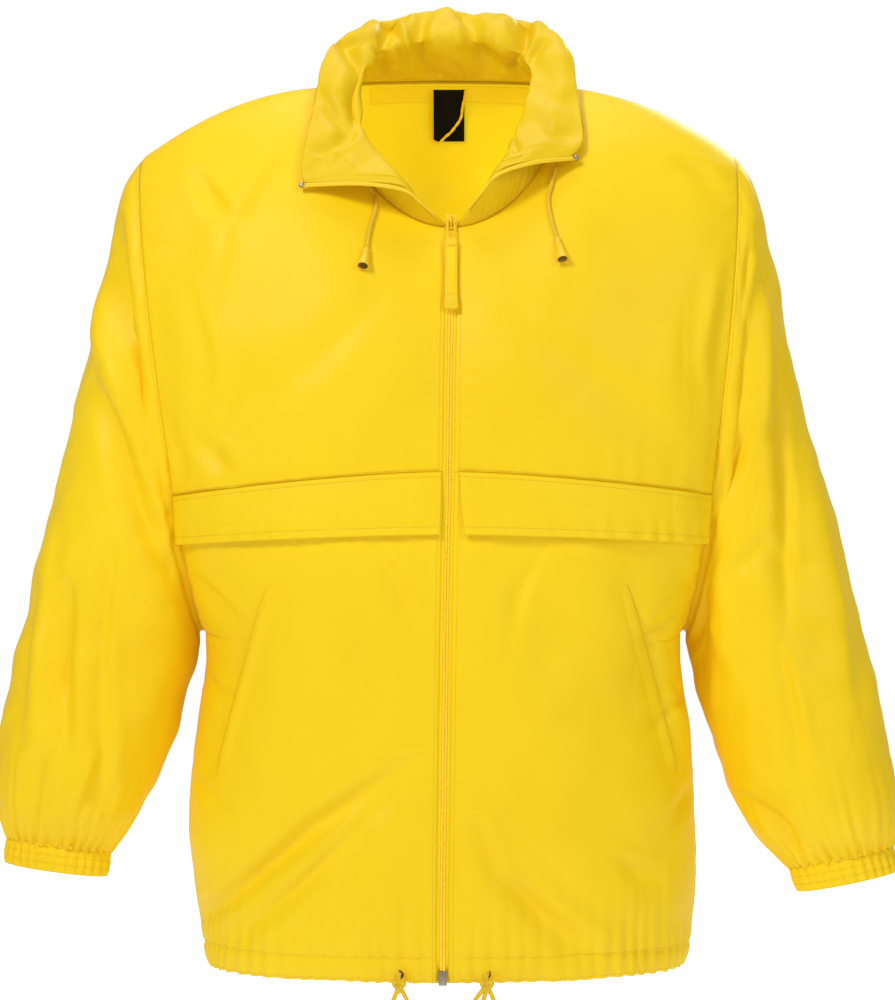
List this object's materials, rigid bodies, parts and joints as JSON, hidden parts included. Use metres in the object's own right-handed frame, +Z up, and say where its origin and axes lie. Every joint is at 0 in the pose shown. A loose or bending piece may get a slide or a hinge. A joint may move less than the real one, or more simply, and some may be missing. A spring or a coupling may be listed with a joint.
{
  "type": "windbreaker jacket",
  "caption": "Light nylon windbreaker with a fold-down collar, full zip with a swinging pull, chest flaps, slanted pockets, gathered cuffs and hem cords, in its worn hollow form.",
  "frame": {"origin": "middle of the wearer's neck, level with the inner ends of the shoulder seams, where the wearer holds the jacket up", "axes": "+Z up the body, -Y the way the front faces, +X towards the wearer's left"},
  "size_m": [0.7789, 0.2814, 0.8781],
  "materials": {
    "nylon": "thin glossy woven nylon",
    "cord": "twisted cord",
    "moulded": "moulded, slightly glossy",
    "stop_metal": "dull pressed metal",
    "label_cloth": "woven, bare"
  },
  "bodies": {
    "garment": {"front_upper_right": "nylon", "front_upper_left": "nylon", "front_lower_right": "nylon", "front_lower_left": "nylon", "chest_flap_right": "nylon", "chest_flap_left": "nylon", "pocket_welt_right": "nylon", "pocket_welt_left": "nylon", "sleeve_right": "nylon", "sleeve_left": "nylon", "cuff_right": "nylon", "cuff_left": "nylon", "back": "nylon", "collar": "nylon", "zip_tape_right": "nylon", "zip_tape_left": "nylon", "zip_open_right": "nylon", "zip_open_left": "nylon", "neck_tape": "nylon", "collar_cord_right": "cord", "collar_cord_left": "cord", "hem_knot_right": "cord", "hem_knot_left": "cord", "hem_cord_right_1": "cord", "hem_cord_right_2": "cord", "hem_cord_left_1": "cord", "hem_cord_left_2": "cord", "hem_cord_left_3": "cord", "hanger_loop": "cord", "zip_box": "moulded", "zip_slider": "moulded", "cord_bell_right": "moulded", "cord_bell_left": "moulded", "hem_eyelet_right": "moulded", "hem_eyelet_left": "moulded", "zip_stop_right": "stop_metal", "zip_stop_left": "stop_metal", "neck_label": "label_cloth"},
    "pull": {"zip_pull": "moulded"}
  },
  "joints": [
    {"name": "pull_swing", "type": "hinge", "parent": "garment", "child": "pull", "pos_m": [0.003, -0.08396, -0.11813], "axis": [-1, 0, 0], "range_deg": [0, 150]}
  ]
}
